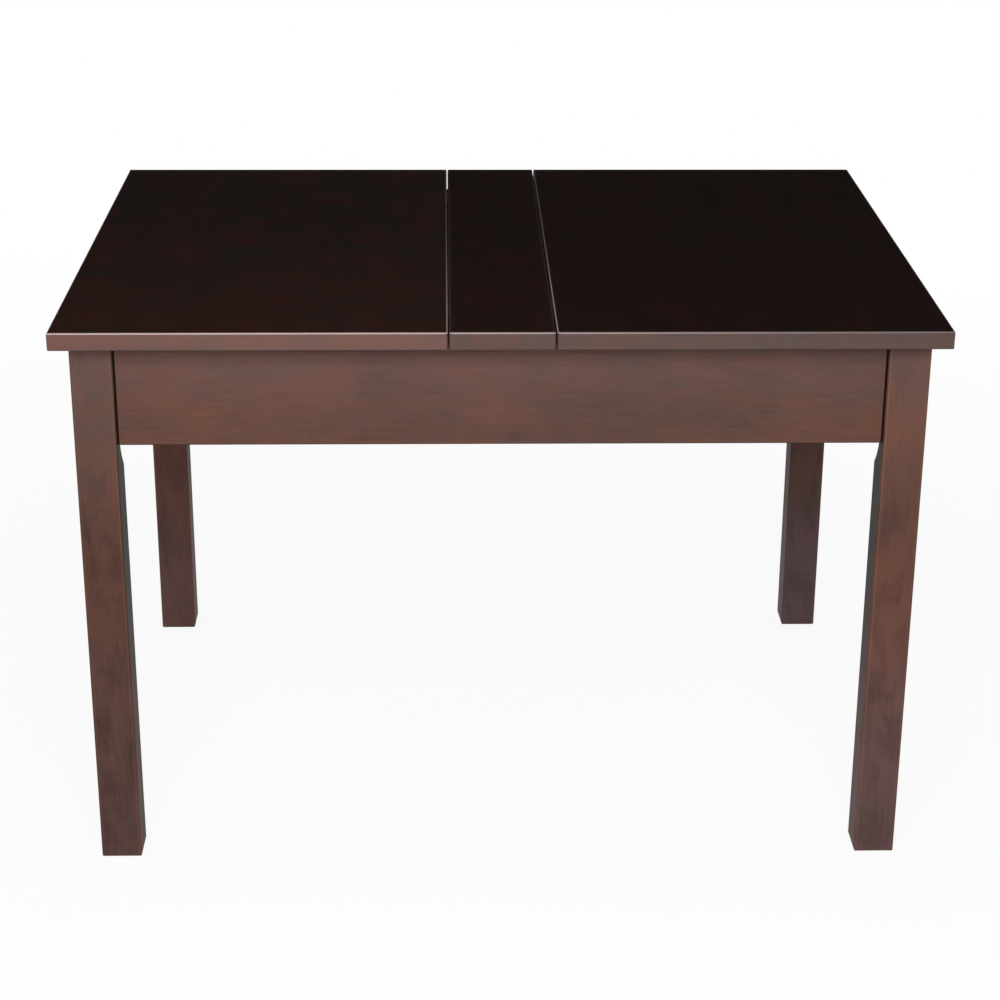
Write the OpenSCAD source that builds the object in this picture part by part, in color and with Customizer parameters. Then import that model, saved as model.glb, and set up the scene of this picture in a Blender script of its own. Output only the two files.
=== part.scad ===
// Kids' storage table with three flush top panels over two bins.
// The middle panel is fixed. The two outer lids lift up from the sides on concealed hinges,
// and a friction stay in each bin holds its lid where it is put.
// Lengths are millimetres and angles are degrees. X runs to the right, Y to the back and Z up.
// The origin is on the floor under the middle of the table.

/* [Table] */
// Width of the table across its top
table_w = 813; // [780:1:860]
// Depth of the table from front to back
table_d = 610; // [580:1:660]
// Height of the top face above the floor
table_h = 544; // [500:1:590]

/* [Top panels] */
// Thickness of the lids and of the centre panel
top_t = 17; // [16:0.5:19]
// Width of the fixed centre panel
centre_w = 96; // [90:1:110]
// Gap between the centre panel and each lid
seam = 1; // [0.8:0.2:2.6]
// Radius of the eased edges of the top panels
top_ease = 2; // [1:0.5:2.5]
// How far the top reaches past the legs at each side
overhang_x = 16; // [8:1:24]
// How far the top reaches past the legs at the front and the back
overhang_y = 17; // [8:1:24]

/* [Legs] */
// Side of the square legs
leg_s = 39; // [37:1:43]
// Radius of the eased edges of the legs
leg_ease = 3; // [1:0.5:4]
// Width of the corner that is cut off the inside of each leg
leg_cut = 23; // [21:1:25]
// Radius of the curve in which that cut runs out
runout_r = 70; // [50:1:90]
// How far the cut reaches below the aprons
runout_drop = 31; // [26:1:40]

/* [Aprons and rails] */
// Height of the aprons and of the cross rails
apron_h = 98; // [96:1:110]
// Thickness of the aprons
apron_t = 13; // [12:0.5:14]
// How far the aprons are set back from the outer faces of the legs
apron_setback = 7; // [5:0.5:8]
// Radius of the eased lower edges of the aprons
apron_ease = 1; // [0.5:0.25:2]
// Thickness of the cross rails under the two seams
rail_t = 18; // [17:1:22]
// Diameter of the dowels that join the rails to the aprons
dowel_d = 8; // [6:1:10]
// Length of those dowels
dowel_l = 30; // [26:1:34]
// How deep a dowel goes into an apron
dowel_bite = 9; // [7:0.5:10]

/* [Bins] */
// Side of the square cleats under the bin floors
cleat_s = 14; // [13:0.5:16]
// How far the cleats sit above the lower edge of the aprons
cleat_rise = 2; // [1:0.5:5]
// Thickness of the bin floors
floor_t = 6; // [5:0.5:8]
// Gap between a bin floor and the walls round it
floor_gap = 0.5; // [0.3:0.1:1]

/* [Corner blocks] */
// Thickness of a corner block from the leg to the bin
block_t = 30; // [26:1:34]
// Gap between a corner block and the lid over it
block_drop = 6; // [3:0.5:10]
// Gap between a corner block and the bin floor
block_gap = 4; // [2:0.5:5]
// Distance between the two bolts in a corner block
bolt_pitch = 28; // [24:1:32]
// Diameter of the hanger bolts
bolt_d = 6; // [5:0.5:7]
// How deep a hanger bolt goes into its leg
bolt_bite = 25; // [20:1:28]
// Width of a hexagon nut across its corners
nut_w = 11.5; // [11:0.5:13]
// Thickness of a hexagon nut
nut_t = 5; // [4:0.5:6]
// Diameter of a washer
washer_d = 15; // [14:0.5:16]
// Thickness of a washer
washer_t = 1.5; // [1:0.25:2]
// Length of bolt that stands out past its nut
bolt_end = 3; // [1:0.5:6]

/* [Wood screws] */
// Diameter of the screws in the frame
frame_screw_d = 4; // [3.5:0.25:4.5]
// Length of the screws that hold the cleats and corner blocks
frame_screw_l = 25; // [23:0.5:25.5]
// Length of the screws that hold the centre panel
panel_screw_l = 30; // [27:1:32]
// Diameter of the screws in the floors, hinges and stays
small_screw_d = 3.5; // [3:0.25:4]
// Length of the screws in the bin floors
floor_screw_l = 16; // [13:1:18]
// Length of the screws in the hinges
hinge_screw_l = 16; // [13:1:20]
// Length of the screws in the stays
stay_screw_l = 12; // [9:0.5:12]

/* [Panel blocks] */
// Side of the square blocks that hold the centre panel to the rails
panel_block_s = 20; // [18:1:22]
// Length of those blocks
panel_block_l = 80; // [70:1:100]
// Distance of those blocks from the middle of the table
panel_block_y = 130; // [90:1:150]

/* [Concealed hinges] */
// Distance of each hinge from the middle of the table
hinge_y = 205; // [195:1:225]
// Length of a hinge cup over its flange
cup_l = 70; // [68:1:80]
// Length of the deep body of a hinge cup
cup_body_l = 48; // [46:1:50]
// Height of a hinge cup
cup_h = 11; // [10.75:0.25:12]
// Depth of a hinge cup into the edge of its panel
cup_depth = 13; // [12:0.5:16]
// Thickness of the flange of a hinge cup
cup_flange_t = 2.5; // [2:0.25:3]
// Number of crescent links in a hinge
link_n = 3; // [1:1:3]
// Width of one crescent link
link_w = 10; // [8:0.5:11]
// Wall between two crescent links
link_wall = 3; // [2:0.5:4]
// Radius of the inner side of a crescent link
link_r = 8.5; // [8.3:0.1:8.8]
// Thickness of a crescent link
link_t = 2; // [1.5:0.1:2.2]
// Angle between the top face and each end of a crescent link
link_end = 28; // [27:0.5:30]

/* [Lid stays] */
// Distance of the fixed pivot outward from the hinge axis
pivot_x = 20; // [20:0.5:24]
// Distance of the fixed pivot below the hinge axis
pivot_z = 44; // [42:0.5:48]
// Distance of the lid pivot outward from the hinge axis
lid_pivot_x = 110; // [100:1:130]
// Distance of the lid pivot below the top face
lid_pivot_z = 28; // [27.5:0.5:30]
// Thickness of the stay arms
arm_t = 2.5; // [2:0.25:3]
// Width of the stay arms
arm_w = 12; // [10:1:13]
// Radius of the round eyes at the ends of the arms
eye_r = 8; // [7:0.5:8]
// Thickness of the stay plates and brackets
plate_t = 2; // [1.75:0.25:2.5]
// Width of a stay plate
plate_w = 20; // [18:0.5:21]
// Height of a stay plate
plate_h = 50; // [46:1:52]
// Distance between the two screws in a stay plate
plate_screws = 32; // [28:1:36]
// Length of the bracket flange under a lid
bracket_l = 48; // [44:1:60]
// Width of the bracket flange under a lid
bracket_w = 18; // [16:1:24]
// Distance between the two screws in a bracket
bracket_screws = 32; // [28:1:34]
// Radius of the rivets in the stays
rivet_r = 3; // [2.5:0.25:3.5]
// Radius of the rivet heads
rivet_head_r = 5; // [4.5:0.25:6]
// Radius of the friction hub on the fixed pivot
hub_r = 8; // [7:0.5:8.5]

/* [Fits] */
// Clearance all round a screw, a bolt or a rivet in its hole
hole_fit = 0.06; // [0.04:0.01:0.09]
// Clearance all round a bolt in its corner block
bolt_fit = 0.3; // [0.2:0.05:0.5]
// Gap between the nose of a corner block and its leg, which lets the bolts draw tight
nose_gap = 0.2; // [0.1:0.05:0.5]
// Clearance on each side of a crescent link in its slot
link_fit = 0.1; // [0.06:0.01:0.12]
// Clearance between stay arms that lie side by side
arm_gap = 0.25; // [0.2:0.05:0.4]
// Clearance all round the elbow rivet in the upper arm
elbow_fit = 0.25; // [0.15:0.05:0.4]

/* [Hidden] */
$fn = 64;

LEFT = -1;
RIGHT = 1;
FRONT = -1;
BACK = 1;

wood = "#5c3f37";
dark_wood = "#2a1f1c";
inner_wood = "#8a6a52";
steel = "silver";
zinc = "#a8a8a4";

// Top and frame
frame_h = table_h - top_t;
half_w = table_w / 2;
half_d = table_d / 2;
leg_x = half_w - overhang_x;
leg_y = half_d - overhang_y;
apron_z = frame_h - apron_h;
apron_in = apron_setback + apron_t;
lid_in = centre_w / 2 + seam;
lid_w = half_w - lid_in;
axis_x = (centre_w + seam) / 2;

// Bins: walls on the right-hand side, which the left-hand side mirrors
bin_in = axis_x + rail_t / 2;
bin_out = leg_x - apron_in;
bin_y = leg_y - apron_in;
cleat_z = apron_z + cleat_rise;
cleat_end = leg_x - leg_s;
floor_z = cleat_z + cleat_s;

// Corners: a leg's inside cut and its block lie on lines of equal x + y from the outer corner
cut_sum = 2 * leg_s - leg_cut;
cut_face = cut_sum / sqrt(2);
cut_depth = leg_cut / sqrt(2);
cut_flat_z = apron_z - runout_drop + sqrt(pow(runout_r, 2) - pow(runout_r - cut_depth, 2));
nose_sum = cut_sum + nose_gap * sqrt(2);
block_sum = cut_sum + (nose_gap + block_t) * sqrt(2);
block_z = floor_z + floor_t + block_gap;
block_h = frame_h - block_drop - block_z;
block_screw_x = leg_s + 19;
block_screw_inset = 8;
frame_bite = 10;
corner_gap = 1.5;

// Rows of screws along the cleats: distances from the walls at the ends of the bin
cleat_screw_inset = 80;
floor_screw_inset = 120;
floor_screw_shift = 20;
cleat_end_inset = 60;
floor_end_inset = 90;

// Wood screws: heads are countersunk at 45 degrees
frame_head_d = 2 * frame_screw_d;
small_head_d = 2 * small_screw_d;
point_l = 3;
hole_end = 0.5;

// Hinges: measured from the hinge axis, which lies in the top face along the seam
cup_z = -top_t / 2;
cup_screw_y = cup_l / 2 - cup_h / 2;
link_pitch = link_w + link_wall;
link_side_fit = 0.2;
slot_end = link_end - 2;
slot_mouth = 100;

// Stays: layers from the back apron towards the front, and pivots on the right-hand side
plate_y = bin_y - plate_t;
boss_t = 1;
lower_y = plate_y - boss_t - arm_t;
upper_y = lower_y - arm_gap - arm_t;
tab_y = upper_y - arm_gap - plate_t;
rivet_head_t = 1.3;
hub_t = 2.6;
head_gap = 0.1;
fixed_pivot = [axis_x + pivot_x, table_h - pivot_z];
lid_pivot = [axis_x + lid_pivot_x, table_h - lid_pivot_z];
elbow = fixed_pivot + lid_pivot - [axis_x, table_h];
bracket_screw_y = tab_y + plate_t - bracket_w / 2;

// Children are drawn for the right-hand side, or mirrored to the left
module on_side(side) {
    mirror([side < 0 ? 1 : 0, 0, 0]) children();
}

// Children are drawn in a corner's own frame: origin on the outer edge of the leg, inward positive
module at_corner(side, end) {
    translate([side * leg_x, end * leg_y, 0])
        mirror([side > 0 ? 1 : 0, 0, 0])
            mirror([0, end > 0 ? 1 : 0, 0])
                children();
}

// Outline of a rectangle with round corners, centred
module round_rect(w, h, r) {
    square([w - 2 * r, h], center = true);
    square([w, h - 2 * r], center = true);
    for (x = [-1, 1], y = [-1, 1])
        translate([x * (w / 2 - r), y * (h / 2 - r)]) circle(r);
}

// Board with all its edges eased, centred
module eased_board(w, d, h, r) {
    intersection() {
        linear_extrude(h, center = true) round_rect(w, d, r);
        rotate([90, 0, 0]) linear_extrude(d, center = true) round_rect(w, h, r);
        rotate([90, 0, 90]) linear_extrude(w, center = true) round_rect(d, h, r);
    }
}

// Countersunk screw with the top of its head at the origin and its point downwards
module wood_screw(d, l, head_d) {
    r = d / 2;
    neck = (d - head_d) / 2;
    rotate_extrude()
        polygon([[0, 0], [head_d / 2, 0], [r, neck], [r, point_l - l], [r / 4, -l], [0, -l]]);
}

// Hole that such a screw fills, open above its head for as far as over
module screw_hole(d, l, head_d, over = 1) {
    r = d / 2 + hole_fit;
    head_r = head_d / 2 + hole_fit;
    neck = (d - head_d) / 2;
    end = -l - hole_end;
    rotate_extrude()
        polygon([[0, over], [head_r, over], [head_r, 0], [r, neck], [r, end], [0, end]]);
}

module frame_screw() {
    wood_screw(frame_screw_d, frame_screw_l, frame_head_d);
}

module frame_screw_hole(over = 1) {
    screw_hole(frame_screw_d, frame_screw_l, frame_head_d, over);
}

// Places of the two hanger bolts in a corner, along the diagonal from the outer edge of the leg
module at_bolts() {
    for (s = [-1, 1])
        translate([0, 0, block_z + block_h / 2 + s * bolt_pitch / 2])
            rotate([0, 90, 45])
                children();
}

// Places of the screws from a corner block: along_x ones go into the side apron
module at_block_screws(along_x) {
    head = apron_in - frame_bite + frame_screw_l;
    for (z = [block_z + block_screw_inset, block_z + block_h - block_screw_inset])
        if (along_x)
            translate([head, block_screw_x, z]) rotate([0, 90, 0]) children();
        else
            translate([block_screw_x, head, z]) rotate([-90, 0, 0]) children();
}

// Places of the screws from the cleats into the walls of the right-hand bin
module at_cleat_side_screws() {
    for (y = [-1, 0, 1] * (bin_y - cleat_screw_inset))
        translate([bin_out - cleat_s, y, cleat_z + cleat_s / 2]) rotate([0, -90, 0]) children();
}

module at_cleat_rail_screws() {
    for (y = [-1, 0, 1] * (bin_y - cleat_screw_inset))
        translate([bin_in + cleat_s, y, cleat_z + cleat_s / 2]) rotate([0, 90, 0]) children();
}

module at_cleat_end_screws(end) {
    for (x = [bin_in + cleat_end_inset, cleat_end - cleat_end_inset])
        translate([x, end * (bin_y - cleat_s), cleat_z + cleat_s / 2])
            rotate([end * 90, 0, 0])
                children();
}

// Places of the screws down through the floor of the right-hand bin
module at_floor_side_screws() {
    for (x = [bin_in + cleat_s / 2, bin_out - cleat_s / 2], n = [-1, 0, 1])
        translate([x, n * (bin_y - floor_screw_inset) + floor_screw_shift, floor_z + floor_t])
            children();
}

module at_floor_end_screws(end) {
    for (x = [bin_in + floor_end_inset, cleat_end - floor_end_inset])
        translate([x, end * (bin_y - cleat_s / 2), floor_z + floor_t]) children();
}

module floor_screw_hole() {
    screw_hole(small_screw_d, floor_screw_l, small_head_d);
}

// Places of the dowels at both ends of the right-hand rail, each with its apron end upwards
module at_rail_dowels(end) {
    for (z = [apron_z + apron_h / 4, frame_h - apron_h / 4])
        translate([axis_x, end * (bin_y + dowel_bite), z]) rotate([-end * 90, 0, 0]) children();
}

module dowel_hole() {
    translate([0, 0, -dowel_l - hole_end])
        cylinder(dowel_l + 2 * hole_end, r = dowel_d / 2 + hole_fit);
}

// Places of the screws in the panel blocks beside the right-hand rail
module at_panel_screws_up() {
    for (end = [FRONT, BACK], s = [-1, 1])
        translate([bin_in - rail_t - panel_block_s / 2, end * panel_block_y + s * panel_block_l / 3,
                   frame_h - panel_block_s])
            rotate([180, 0, 0])
                children();
}

module at_panel_screws_across() {
    for (end = [FRONT, BACK], s = [-1, 1])
        translate([bin_in - rail_t - panel_block_s, end * panel_block_y + s * panel_block_l / 8,
                   frame_h - panel_block_s / 2])
            rotate([0, -90, 0])
                children();
}

module panel_screw_hole() {
    screw_hole(frame_screw_d, panel_screw_l, frame_head_d);
}

// Places of the two hinges of the right-hand lid, with X from the hinge axis towards the lid
module at_hinges() {
    for (end = [FRONT, BACK])
        translate([axis_x, end * hinge_y, table_h]) children();
}

module at_hinge_screws() {
    for (s = [-1, 1])
        translate([seam / 2, s * cup_screw_y, cup_z]) rotate([0, -90, 0]) children();
}

module hinge_screw_hole() {
    screw_hole(small_screw_d, hinge_screw_l, small_head_d);
}

// Flat bar with round ends that goes from the edge of a panel into the wood
module cup_bar(l, h, depth) {
    translate([seam / 2, 0, cup_z])
        rotate([90, 0, 90])
            linear_extrude(depth) {
                square([l - h, h], center = true);
                for (s = [-1, 1])
                    translate([s * (l - h) / 2, 0]) circle(h / 2);
            }
}

// Part of a ring about the hinge axis, centred on Y
module hinge_arc(r, t, w, from, to) {
    rotate([90, -from, 0])
        rotate_extrude(angle = to - from)
            translate([r, -w / 2]) square([t, w]);
}

module at_links() {
    for (i = [0 : link_n - 1])
        translate([0, (i - (link_n - 1) / 2) * link_pitch, 0]) children();
}

// Cup of the concealed hinge, let into the edge of a lid
module hinge_cup() {
    difference() {
        union() {
            cup_bar(cup_l, cup_h, cup_flange_t);
            cup_bar(cup_body_l, cup_h, cup_depth);
        }
        at_links()
            hinge_arc(link_r - link_fit, link_t + 2 * link_fit, link_w + 2 * link_side_fit,
                      -slot_mouth, -slot_end);
        at_hinge_screws() hinge_screw_hole();
    }
}

// Recess that a hinge cup and its screws fill
module hinge_mortise() {
    cup_bar(cup_l + 2 * hole_fit, cup_h + 2 * hole_fit, cup_flange_t);
    cup_bar(cup_body_l + 2 * hole_fit, cup_h + 2 * hole_fit, cup_depth);
    translate([-1, 0, 0]) cup_bar(cup_l + 2 * hole_fit, cup_h + 2 * hole_fit, 1.5);
    at_hinge_screws() hinge_screw_hole();
}

// Children lie in the upright plane of the stays, from y towards the back by t
module stay_layer(y, t) {
    translate([0, y + t, 0]) rotate([90, 0, 0]) linear_extrude(t) children();
}

// Outline of a flat arm between two pivots
module arm_outline(a, b) {
    translate(a) circle(eye_r);
    translate(b) circle(eye_r);
    translate(a)
        rotate(atan2(b[1] - a[1], b[0] - a[0]))
            translate([0, -arm_w / 2])
                square([norm(b - a), arm_w]);
}

// Round bar along Y about a pivot, from y towards the back by l
module stay_pin(at, y, l, r) {
    translate([at[0], y + l, at[1]]) rotate([90, 0, 0]) cylinder(l, r = r);
}

// Rivet along Y about a pivot, with a flat head at each end
module headed_pin(at, front, back) {
    stay_pin(at, front, back - front, rivet_r);
    for (y = [front, back - rivet_head_t])
        stay_pin(at, y, rivet_head_t, rivet_head_r);
}

module at_plate_screws() {
    for (s = [-1, 1])
        translate([fixed_pivot[0], plate_y, fixed_pivot[1] + s * plate_screws / 2])
            rotate([90, 0, 0])
                children();
}

module at_bracket_screws() {
    for (s = [-1, 1])
        translate([lid_pivot[0] + s * bracket_screws / 2, bracket_screw_y, frame_h - plate_t])
            rotate([180, 0, 0])
                children();
}

module stay_screw_hole() {
    screw_hole(small_screw_d, stay_screw_l, small_head_d);
}

// Square leg with a flat for its corner block, which runs out in a curve below the aprons
module leg(side, end) {
    color(wood) at_corner(side, end) difference() {
        translate([leg_s / 2, leg_s / 2, (frame_h + leg_ease) / 2])
            eased_board(leg_s, leg_s, frame_h + leg_ease, leg_ease);
        translate([-1, -1, frame_h]) cube([leg_s + 2, leg_s + 2, leg_ease + 1]);
        rotate([0, 0, 45]) {
            translate([cut_face, -leg_s, cut_flat_z]) cube([leg_s, 2 * leg_s, frame_h]);
            translate([cut_face + runout_r, 0, cut_flat_z])
                rotate([90, 0, 0])
                    cylinder(2 * leg_s, r = runout_r, center = true, $fn = 128);
        }
        at_bolts()
            translate([0, 0, cut_face - bolt_bite - hole_end])
                cylinder(leg_s, r = bolt_d / 2 + hole_fit);
    }
}

// Apron board lying along X with its outer face at the front, eased along its lower edges
module apron_board(l) {
    rotate([90, 0, 90])
        linear_extrude(l, center = true)
            union() {
                translate([0, apron_ease]) square([apron_t, apron_h - apron_ease]);
                translate([apron_ease, 0]) square([apron_t - 2 * apron_ease, apron_h]);
                for (x = [apron_ease, apron_t - apron_ease])
                    translate([x, apron_ease]) circle(apron_ease);
            }
}

module end_apron(end) {
    color(wood) difference() {
        mirror([0, end > 0 ? 1 : 0, 0])
            translate([0, apron_setback - leg_y, apron_z])
                apron_board(2 * cleat_end);
        for (side = [LEFT, RIGHT]) {
            at_corner(side, end) at_block_screws(false) frame_screw_hole();
            on_side(side) {
                at_cleat_end_screws(end) frame_screw_hole();
                at_rail_dowels(end) dowel_hole();
                if (end == BACK)
                    at_plate_screws() stay_screw_hole();
            }
        }
    }
}

module side_apron(side) {
    color(wood) difference() {
        on_side(side)
            translate([leg_x - apron_setback, 0, apron_z])
                rotate([0, 0, 90])
                    apron_board(2 * (leg_y - leg_s));
        for (end = [FRONT, BACK])
            at_corner(side, end) at_block_screws(true) frame_screw_hole();
        on_side(side) at_cleat_side_screws() frame_screw_hole();
    }
}

// Cross rail under a seam, which carries the edge of the centre panel and of a lid
module rail(side) {
    color(inner_wood) on_side(side) difference() {
        translate([axis_x - rail_t / 2, -bin_y, apron_z]) cube([rail_t, 2 * bin_y, apron_h]);
        at_cleat_rail_screws() frame_screw_hole();
        at_panel_screws_across() panel_screw_hole();
        for (end = [FRONT, BACK])
            at_rail_dowels(end) dowel_hole();
    }
}

module rail_dowels() {
    color(inner_wood)
        for (side = [LEFT, RIGHT], end = [FRONT, BACK])
            on_side(side)
                at_rail_dowels(end)
                    translate([0, 0, -dowel_l])
                        cylinder(dowel_l, r = dowel_d / 2);
}

module centre_panel() {
    color(dark_wood) difference() {
        translate([0, 0, frame_h + top_t / 2]) eased_board(centre_w, table_d, top_t, top_ease);
        for (side = [LEFT, RIGHT])
            on_side(side) {
                at_hinges() mirror([1, 0, 0]) hinge_mortise();
                at_panel_screws_up() panel_screw_hole();
            }
    }
}

module panel_blocks() {
    color(inner_wood)
        for (side = [LEFT, RIGHT])
            on_side(side) difference() {
                for (end = [FRONT, BACK])
                    translate([bin_in - rail_t - panel_block_s, end * panel_block_y - panel_block_l / 2,
                               frame_h - panel_block_s])
                        cube([panel_block_s, panel_block_l, panel_block_s]);
                at_panel_screws_up() panel_screw_hole();
                at_panel_screws_across() panel_screw_hole();
            }
}

module panel_screws() {
    color(steel)
        for (side = [LEFT, RIGHT])
            on_side(side) {
                at_panel_screws_up() wood_screw(frame_screw_d, panel_screw_l, frame_head_d);
                at_panel_screws_across() wood_screw(frame_screw_d, panel_screw_l, frame_head_d);
            }
}

// Floor of a bin, with its outer corners cut off clear of the legs
module bin_floor(side) {
    x0 = bin_in + floor_gap;
    x1 = bin_out - floor_gap;
    y1 = bin_y - floor_gap;
    cut = cut_sum + corner_gap - 2 * (apron_in + floor_gap);
    color(inner_wood) on_side(side) difference() {
        translate([0, 0, floor_z])
            linear_extrude(floor_t)
                polygon([[x0, -y1], [x1 - cut, -y1], [x1, cut - y1],
                         [x1, y1 - cut], [x1 - cut, y1], [x0, y1]]);
        at_floor_side_screws() floor_screw_hole();
        for (end = [FRONT, BACK])
            at_floor_end_screws(end) floor_screw_hole();
    }
}

module floor_screws() {
    color(steel)
        for (side = [LEFT, RIGHT])
            on_side(side) {
                at_floor_side_screws() wood_screw(small_screw_d, floor_screw_l, small_head_d);
                for (end = [FRONT, BACK])
                    at_floor_end_screws(end) wood_screw(small_screw_d, floor_screw_l, small_head_d);
            }
}

module end_cleat(side, end) {
    color(inner_wood) on_side(side) difference() {
        translate([bin_in, end > 0 ? bin_y - cleat_s : -bin_y, cleat_z])
            cube([cleat_end - bin_in, cleat_s, cleat_s]);
        at_cleat_end_screws(end) frame_screw_hole();
        at_floor_end_screws(end) floor_screw_hole();
    }
}

module side_cleat(side) {
    color(inner_wood) on_side(side) difference() {
        translate([bin_out - cleat_s, leg_s - leg_y, cleat_z])
            cube([cleat_s, 2 * (leg_y - leg_s), cleat_s]);
        at_cleat_side_screws() frame_screw_hole();
        at_floor_side_screws() floor_screw_hole();
    }
}

module rail_cleat(side) {
    color(inner_wood) on_side(side) difference() {
        translate([bin_in, cleat_s - bin_y, cleat_z])
            cube([cleat_s, 2 * (bin_y - cleat_s), cleat_s]);
        at_cleat_rail_screws() frame_screw_hole();
        at_floor_side_screws() floor_screw_hole();
    }
}

// Three-sided block behind a leg, with its nose on the flat of the leg
module corner_block(side, end) {
    color(inner_wood) at_corner(side, end) difference() {
        translate([0, 0, block_z])
            linear_extrude(block_h)
                polygon([[apron_in, nose_sum - apron_in], [nose_sum - apron_in, apron_in],
                         [block_sum - apron_in, apron_in], [apron_in, block_sum - apron_in]]);
        at_bolts() cylinder(2 * block_sum, r = bolt_d / 2 + bolt_fit);
        for (along_x = [false, true])
            at_block_screws(along_x) frame_screw_hole(block_t);
    }
}

module frame_screws() {
    color(steel)
        for (side = [LEFT, RIGHT]) {
            for (end = [FRONT, BACK], along_x = [false, true])
                at_corner(side, end) at_block_screws(along_x) frame_screw();
            on_side(side) {
                at_cleat_side_screws() frame_screw();
                at_cleat_rail_screws() frame_screw();
                for (end = [FRONT, BACK])
                    at_cleat_end_screws(end) frame_screw();
            }
        }
}

// Children are drawn at every hanger bolt, at a distance along the bolt from the leg's outer edge
module along_all_bolts(distance) {
    for (side = [LEFT, RIGHT], end = [FRONT, BACK])
        at_corner(side, end) at_bolts() translate([0, 0, distance]) children();
}

module hanger_bolts() {
    color(steel)
        along_all_bolts(cut_face - bolt_bite)
            cylinder(bolt_bite + nose_gap + block_t + washer_t + nut_t + bolt_end, r = bolt_d / 2);
}

module bolt_washers() {
    color(steel) along_all_bolts(cut_face + nose_gap + block_t) difference() {
        cylinder(washer_t, r = washer_d / 2);
        translate([0, 0, -1]) cylinder(washer_t + 2, r = bolt_d / 2 + bolt_fit);
    }
}

module bolt_nuts() {
    color(steel) along_all_bolts(cut_face + nose_gap + block_t + washer_t) difference() {
        cylinder(nut_t, r = nut_w / 2, $fn = 6);
        translate([0, 0, -1]) cylinder(nut_t + 2, r = bolt_d / 2 + hole_fit);
    }
}

module hinge_cups_centre(side) {
    color(zinc) on_side(side) at_hinges() mirror([1, 0, 0]) hinge_cup();
}

module hinge_screws_centre() {
    color(steel)
        for (side = [LEFT, RIGHT])
            on_side(side)
                at_hinges()
                    mirror([1, 0, 0])
                        at_hinge_screws()
                            wood_screw(small_screw_d, hinge_screw_l, small_head_d);
}

// Plate on the back apron with a raised boss round the fixed pivot
module stay_plates() {
    color(steel)
        for (side = [LEFT, RIGHT])
            on_side(side) difference() {
                union() {
                    stay_layer(plate_y, plate_t)
                        translate(fixed_pivot) round_rect(plate_w, plate_h, plate_w / 4);
                    stay_pin(fixed_pivot, plate_y - boss_t, boss_t + plate_t, hub_r);
                }
                stay_pin(fixed_pivot, lower_y, 4 * arm_t, rivet_r + hole_fit);
                at_plate_screws() stay_screw_hole();
            }
}

module stay_plate_screws() {
    color(steel)
        for (side = [LEFT, RIGHT])
            on_side(side) at_plate_screws() wood_screw(small_screw_d, stay_screw_l, small_head_d);
}

// Rivet with a broad head that presses the lower arm on its boss, which gives the friction
module stay_hub_rivets() {
    color(zinc)
        for (side = [LEFT, RIGHT])
            on_side(side) {
                stay_pin(fixed_pivot, lower_y - hub_t, bin_y - lower_y + hub_t, rivet_r);
                stay_pin(fixed_pivot, lower_y - hub_t, hub_t, hub_r);
            }
}

module lid(side) {
    color(dark_wood) on_side(side) difference() {
        translate([lid_in + lid_w / 2, 0, frame_h + top_t / 2])
            eased_board(lid_w, table_d, top_t, top_ease);
        at_hinges() hinge_mortise();
        at_bracket_screws() stay_screw_hole();
    }
}

module hinge_cups_lid(side) {
    color(zinc) on_side(side) at_hinges() hinge_cup();
}

module hinge_screws_lid(side) {
    color(steel)
        on_side(side)
            at_hinges()
                at_hinge_screws()
                    wood_screw(small_screw_d, hinge_screw_l, small_head_d);
}

// Crescents that slide in the slots of both cups and turn half as far as the lid
module hinge_links(side) {
    color(steel)
        on_side(side)
            at_hinges()
                at_links()
                    hinge_arc(link_r, link_t, link_w, link_end - 180, -link_end);
}

// Angle bracket under a lid: a flange with two screws and a round tab for the pivot
module stay_bracket(side) {
    color(steel) on_side(side) difference() {
        union() {
            translate([lid_pivot[0] - bracket_l / 2, tab_y + plate_t - bracket_w, frame_h - plate_t])
                cube([bracket_l, bracket_w, plate_t]);
            stay_layer(tab_y, plate_t) {
                translate(lid_pivot) circle(eye_r);
                translate([lid_pivot[0] - eye_r, lid_pivot[1]])
                    square([2 * eye_r, frame_h - lid_pivot[1]]);
            }
        }
        stay_pin(lid_pivot, tab_y - 1, plate_t + 2, rivet_r + hole_fit);
        at_bracket_screws() stay_screw_hole();
    }
}

module stay_bracket_screws(side) {
    color(steel)
        on_side(side) at_bracket_screws() wood_screw(small_screw_d, stay_screw_l, small_head_d);
}

// Rivet that joins the upper arm to the bracket
module stay_lid_rivet(side) {
    front = tab_y - rivet_head_t;
    back = upper_y + arm_t + head_gap + rivet_head_t;
    color(zinc) on_side(side) headed_pin(lid_pivot, front, back);
}

module stay_lower_arm(side) {
    color(steel) on_side(side) difference() {
        stay_layer(lower_y, arm_t) arm_outline(fixed_pivot, elbow);
        for (at = [fixed_pivot, elbow])
            stay_pin(at, lower_y - 1, arm_t + 2, rivet_r + hole_fit);
    }
}

// Rivet that joins the two arms: fast in the lower arm and free in the upper one
module stay_elbow_rivet(side) {
    front = upper_y - head_gap - rivet_head_t;
    back = lower_y + arm_t + rivet_head_t;
    color(zinc) on_side(side) headed_pin(elbow, front, back);
}

module stay_upper_arm(side) {
    color(steel) on_side(side) difference() {
        stay_layer(upper_y, arm_t) arm_outline(lid_pivot, elbow);
        stay_pin(lid_pivot, upper_y - 1, arm_t + 2, rivet_r + hole_fit);
        stay_pin(elbow, upper_y - 1, arm_t + 2, rivet_r + elbow_fit);
    }
}

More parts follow.
